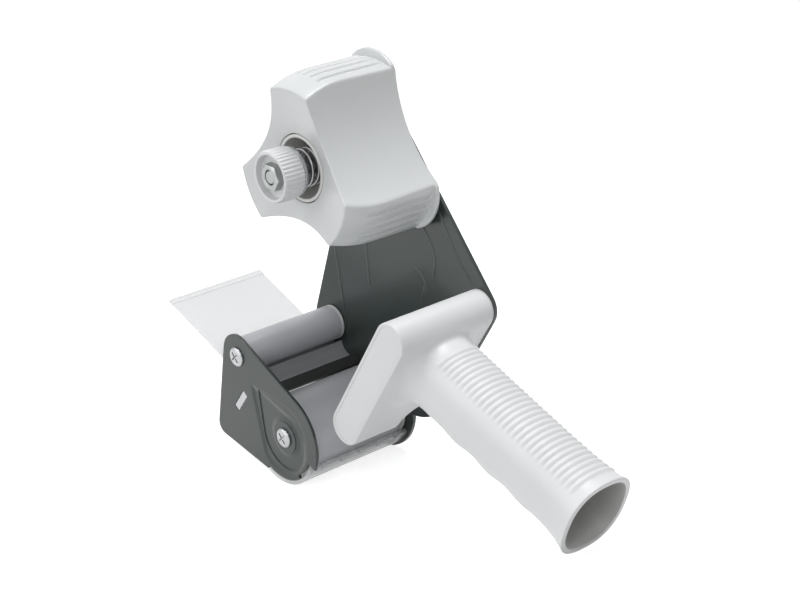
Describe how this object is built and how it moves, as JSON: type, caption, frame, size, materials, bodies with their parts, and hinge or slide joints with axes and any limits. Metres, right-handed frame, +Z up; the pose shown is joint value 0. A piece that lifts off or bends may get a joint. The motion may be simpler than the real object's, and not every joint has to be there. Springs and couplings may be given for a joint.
{
  "type": "handheld tape dispenser",
  "caption": "Pistol-grip dispenser for packing tape: steel side plates, three-lobed tape hub with a drag knob, two rollers, clear flap, toothed blade and a hollow ribbed grip.",
  "frame": {"origin": "middle of the base of the bounding box, with the gun standing on its clear guard and on the lower lip of its grip", "axes": "+X towards the grip's open end, -X towards the flap and the blade, +Y from the small side plate to the main plate, along the axes of the hub and the rollers, +Z up"},
  "size_m": [0.2363, 0.065, 0.1783],
  "materials": {
    "plate_steel": "gloss paint",
    "grip_plastic": "moulded, satin gloss",
    "panel_plastic": "moulded",
    "zinc_steel": "bright zinc",
    "guide_steel": "satin paint",
    "clear_film": "clear flexible plastic",
    "blade_steel": "ground",
    "black_rubber": "matte",
    "clear_guard": "clear moulded plastic",
    "black_plastic": "matte",
    "white_plastic": "moulded",
    "black_felt": "felt",
    "spring_steel": "drawn wire",
    "knob_plastic": "moulded",
    "hub_plastic": "moulded",
    "roller_metal": "satin grey coating",
    "roller_rubber": "smooth grey rubber"
  },
  "bodies": {
    "frame": {"main_plate": "plate_steel", "side_plate": "plate_steel", "handle": "grip_plastic", "end_panel": "panel_plastic", "handle_screws": "zinc_steel", "guide_plate": "guide_steel", "flap_clamp": "zinc_steel", "flap_rivets": "zinc_steel", "blade_holder": "zinc_steel", "blade": "blade_steel", "blade_screws": "zinc_steel", "brake_bar": "black_rubber", "bar_screw": "zinc_steel", "guide_axle": "zinc_steel", "roller_axle": "zinc_steel", "axle_screws": "zinc_steel", "roller_guard": "clear_guard", "spindle_bolt": "zinc_steel", "spindle_washer": "zinc_steel", "spindle_sleeve": "zinc_steel", "back_washer": "black_plastic", "brake_cup": "white_plastic", "friction_washer": "black_felt", "tension_spring": "spring_steel"},
    "tape_hub": {"hub": "hub_plastic", "hub_bush": "white_plastic"},
    "guide_roll": {"guide_roller": "roller_metal", "guide_roller_caps": "panel_plastic"},
    "big_roll": {"application_roller": "roller_rubber", "application_roller_caps": "white_plastic"},
    "flap_sheet": {"flap": "clear_film"},
    "pressure_washer": {"thrust_washer": "zinc_steel"},
    "knob": {"tension_knob": "knob_plastic", "tension_nut": "zinc_steel"}
  },
  "joints": [
    {"name": "hub_spin", "type": "hinge", "parent": "frame", "child": "tape_hub", "pos_m": [-0.01991, 0.0006, 0.13742], "axis": [0, 1, 0], "continuous": true},
    {"name": "guide_roller_spin", "type": "hinge", "parent": "frame", "child": "guide_roll", "pos_m": [-0.06754, -0.0008, 0.0524], "axis": [0, 1, 0], "continuous": true},
    {"name": "application_roller_spin", "type": "hinge", "parent": "frame", "child": "big_roll", "pos_m": [-0.04094, -0.0008, 0.0215], "axis": [0, 1, 0], "continuous": true},
    {"name": "flap_flex", "type": "hinge", "parent": "frame", "child": "flap_sheet", "pos_m": [-0.08029, -0.0008, 0.04814], "axis": [0, 1, 0], "range_deg": [-20, 30], "stiffness_Nm_per_rad": 0.05},
    {"name": "knob_advance", "type": "slide", "parent": "frame", "child": "pressure_washer", "axis": [0, 1, 0], "range_m": [0, 0.002], "deforming": ["tension_spring"]},
    {"name": "knob_turn", "type": "hinge", "parent": "pressure_washer", "child": "knob", "pos_m": [-0.01991, -0.0273, 0.13742], "axis": [0, 1, 0], "range_deg": [0, 720]}
  ],
  "couplings": [
    {"joint": "knob_advance", "follows": "knob_turn", "m_per_rad": 0.00015915}
  ]
}
